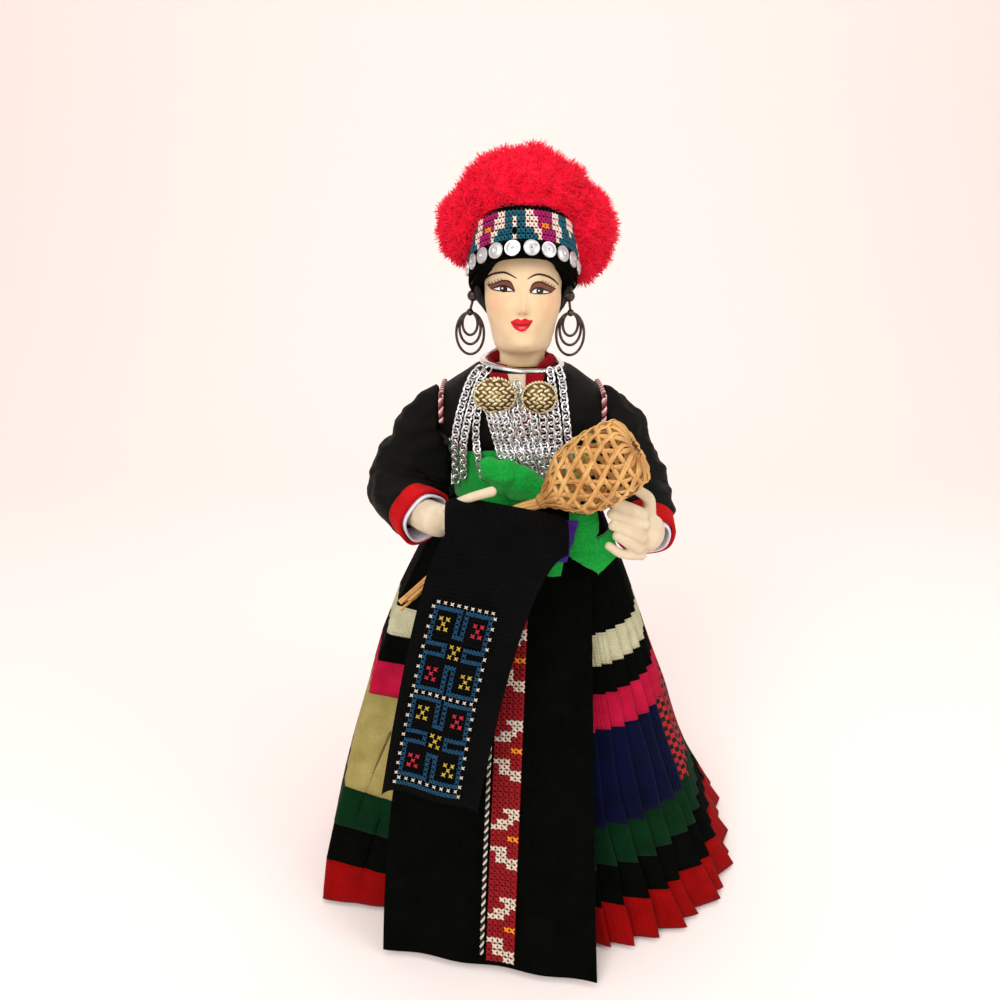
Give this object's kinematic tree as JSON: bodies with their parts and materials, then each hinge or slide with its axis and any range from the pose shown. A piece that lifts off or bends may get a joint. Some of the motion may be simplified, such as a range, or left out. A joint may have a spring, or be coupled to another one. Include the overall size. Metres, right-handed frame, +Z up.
{
  "type": "stockinette doll",
  "caption": "Standing cloth doll in pleated festival skirt, black jacket and yarn head-dress, with silver jewellery, a woven basket and a folded embroidered cloth.",
  "frame": {"origin": "centre of the foot board's underside, under the doll's axis", "axes": "+Z up along the doll's spine, -Y the way the face looks, +X to the doll's left hand"},
  "size_m": [0.1507, 0.1491, 0.246],
  "materials": {
    "black_cloth": "matt woven cotton",
    "red_cloth": "matt woven cotton",
    "dark_red_cloth": "matt woven cotton",
    "green_cloth": "felt-like cotton",
    "dark_green_cloth": "matt woven cotton",
    "pink_cloth": "matt woven cotton",
    "cream_cloth": "open woven cotton",
    "navy_cloth": "matt woven cotton",
    "yellow_cloth": "matt woven cotton",
    "purple_cloth": "matt woven cotton",
    "white_cloth": "matt woven cotton",
    "red_stitching": "cross-stitch in cotton thread",
    "blue_stitching": "cross-stitch in cotton thread",
    "teal_stitching": "cross-stitch in cotton thread",
    "braid": "twisted cotton braid",
    "white_cord": "twisted cotton cord",
    "yarn": "cut wool yarn",
    "hair": "combed black thread",
    "skin": "painted stockinette",
    "stuffing": "cotton cover over stuffing",
    "silver": "polished white metal",
    "gilt": "aged gilt",
    "dark_wire": "darkened wire",
    "straw": "split bamboo",
    "wood": "plain sanded wood"
  },
  "bodies": {
    "figure": {"foot_board": "wood", "spine_dowel": "wood", "stuffed_underskirt": "stuffing", "torso": "skin", "skirt_red_hem": "red_cloth", "skirt_black_lower": "black_cloth", "skirt_green_band": "dark_green_cloth", "skirt_pink_band": "pink_cloth", "skirt_black_upper": "black_cloth", "skirt_cream_band": "cream_cloth", "skirt_black_yoke": "black_cloth", "skirt_navy_panel": "navy_cloth", "skirt_embroidered_panel": "red_stitching", "skirt_yellow_panel": "yellow_cloth", "jacket_body": "black_cloth", "collar": "dark_red_cloth", "shoulder_braid_left": "braid", "shoulder_braid_right": "braid", "sash_band": "green_cloth", "sash_knot": "green_cloth", "sash_loop": "green_cloth", "purple_ribbon": "purple_cloth", "apron": "black_cloth", "apron_strip": "red_stitching", "apron_cord": "white_cord", "neck_ring": "silver", "brooch_left": "gilt", "brooch_right": "gilt", "chain_side_left": "silver", "chain_side_right": "silver", "chain_front_1": "silver", "chain_front_2": "silver", "chain_front_3": "silver", "chain_front_4": "silver", "chain_front_5": "silver", "chain_front_6": "silver"},
    "head": {"head": "skin", "hair": "hair", "hat_band": "teal_stitching", "hat_disc_strip": "silver", "pompom_top": "yarn", "pompom_left": "yarn", "pompom_right": "yarn", "pompom_back": "yarn", "ear_stud_left": "dark_wire", "ear_stud_right": "dark_wire"},
    "earring_left": {"earring_left": "dark_wire"},
    "earring_right": {"earring_right": "dark_wire"},
    "arms": {"sleeve_left": "black_cloth", "sleeve_right": "black_cloth", "cuff_left": "red_cloth", "cuff_right": "red_cloth", "cuff_lining_left": "white_cloth", "cuff_lining_right": "white_cloth", "hand_left": "skin", "hand_right": "skin", "basket": "straw"},
    "cloth": {"folded_cloth": "black_cloth", "cloth_embroidery": "blue_stitching"}
  },
  "joints": [
    {"name": "head_turn", "type": "hinge", "parent": "figure", "child": "head", "pos_m": [0, 0, 0.18], "axis": [0, 0, 1], "range_deg": [-20, 20]},
    {"name": "earring_left_swing", "type": "hinge", "parent": "head", "child": "earring_left", "pos_m": [-0.01639, -0.0026, 0.2016], "axis": [1, 0, 0], "range_deg": [-25, 25]},
    {"name": "earring_right_swing", "type": "hinge", "parent": "head", "child": "earring_right", "pos_m": [0.01639, -0.0026, 0.2016], "axis": [1, 0, 0], "range_deg": [-25, 25]},
    {"name": "arms_lift", "type": "hinge", "parent": "figure", "child": "arms", "pos_m": [0, 0, 0.1655], "axis": [-1, 0, 0], "range_deg": [0, 12]},
    {"name": "cloth_swing", "type": "hinge", "parent": "arms", "child": "cloth", "pos_m": [-0.0225, -0.041, 0.1432], "axis": [-0.9806, 0, 0.1961], "range_deg": [0, 18]}
  ]
}
